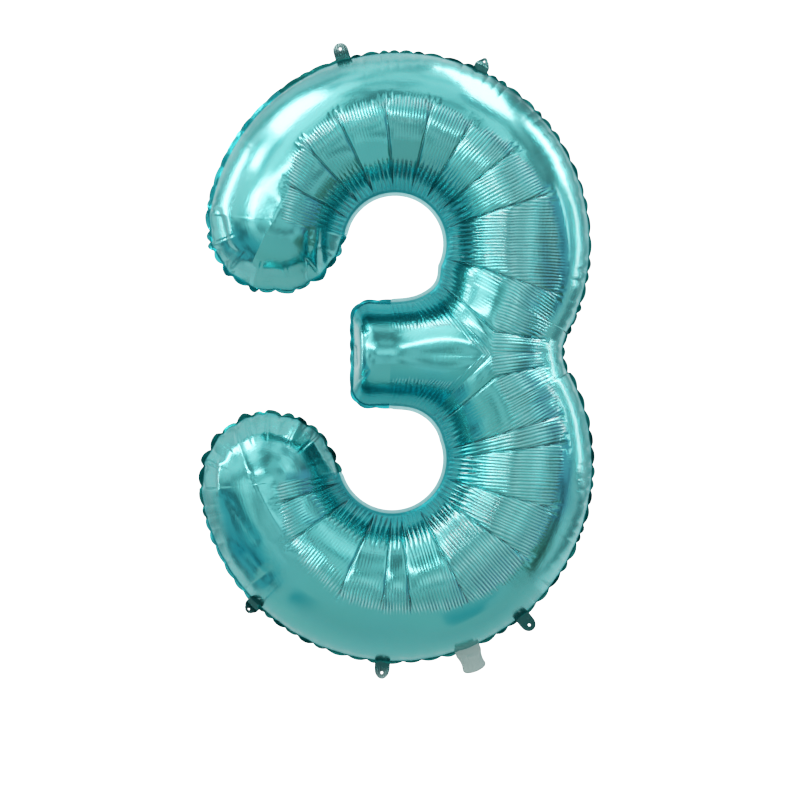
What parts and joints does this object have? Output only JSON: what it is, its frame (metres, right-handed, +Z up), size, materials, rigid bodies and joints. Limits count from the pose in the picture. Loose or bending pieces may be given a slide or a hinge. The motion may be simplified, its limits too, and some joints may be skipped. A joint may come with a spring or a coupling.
{
  "type": "foil number balloon",
  "caption": "Inflated metallic teal foil balloon shaped as the digit 3, with punched hanging tabs and a self-sealing filling neck.",
  "frame": {"origin": "the middle of the balloon's bounding box, in the plane of the weld seam", "axes": "+Z up the digit, +X to the digit's right as it is read, the digit's front faces -Y"},
  "size_m": [0.5549, 0.2238, 0.8824],
  "materials": {
    "teal_foil": "mirror-bright metallised film, teal, with fine crinkles",
    "neck_film": "uncoloured film, grey and half clear",
    "valve_film": "clear thin film"
  },
  "bodies": {
    "envelope": {"front_panel": "teal_foil", "back_panel": "teal_foil", "valve_film_front": "valve_film", "valve_film_back": "valve_film"},
    "neck": {"neck_film_front": "neck_film", "neck_film_back": "neck_film"},
    "crown_left_tab": {"crown_left_tab": "teal_foil"},
    "crown_right_tab": {"crown_right_tab": "teal_foil"},
    "foot_right_tab": {"foot_right_tab": "teal_foil"},
    "foot_middle_tab": {"foot_middle_tab": "teal_foil"},
    "foot_left_tab": {"foot_left_tab": "teal_foil"}
  },
  "joints": [
    {"name": "crown_left_tab_hinge", "type": "hinge", "parent": "envelope", "child": "crown_left_tab", "pos_m": [-0.07535, 0, 0.42347], "axis": [0.9588, 0, 0.284], "range_deg": [-90, 90], "stiffness_Nm_per_rad": 0.0002},
    {"name": "crown_right_tab_hinge", "type": "hinge", "parent": "envelope", "child": "crown_right_tab", "pos_m": [0.11864, 0, 0.40854], "axis": [0.9041, 0, -0.4274], "range_deg": [-50, 130], "stiffness_Nm_per_rad": 0.0002},
    {"name": "foot_right_tab_hinge", "type": "hinge", "parent": "envelope", "child": "foot_right_tab", "pos_m": [0.17815, 0, -0.35916], "axis": [-0.7683, 0, -0.6401], "range_deg": [-90, 90], "stiffness_Nm_per_rad": 0.0002},
    {"name": "foot_middle_tab_hinge", "type": "hinge", "parent": "envelope", "child": "foot_middle_tab", "pos_m": [-0.0197, 0, -0.42325], "axis": [-0.9977, 0, 0.068], "range_deg": [-90, 90], "stiffness_Nm_per_rad": 0.0002},
    {"name": "foot_left_tab_hinge", "type": "hinge", "parent": "envelope", "child": "foot_left_tab", "pos_m": [-0.20032, 0, -0.33999], "axis": [-0.6997, 0, 0.7145], "range_deg": [-145, 35], "stiffness_Nm_per_rad": 0.0002},
    {"name": "neck_hinge", "type": "hinge", "parent": "envelope", "child": "neck", "pos_m": [0.10034, 0, -0.40499], "axis": [-0.9323, 0, -0.3616], "range_deg": [-90, 90], "stiffness_Nm_per_rad": 0.0003}
  ]
}
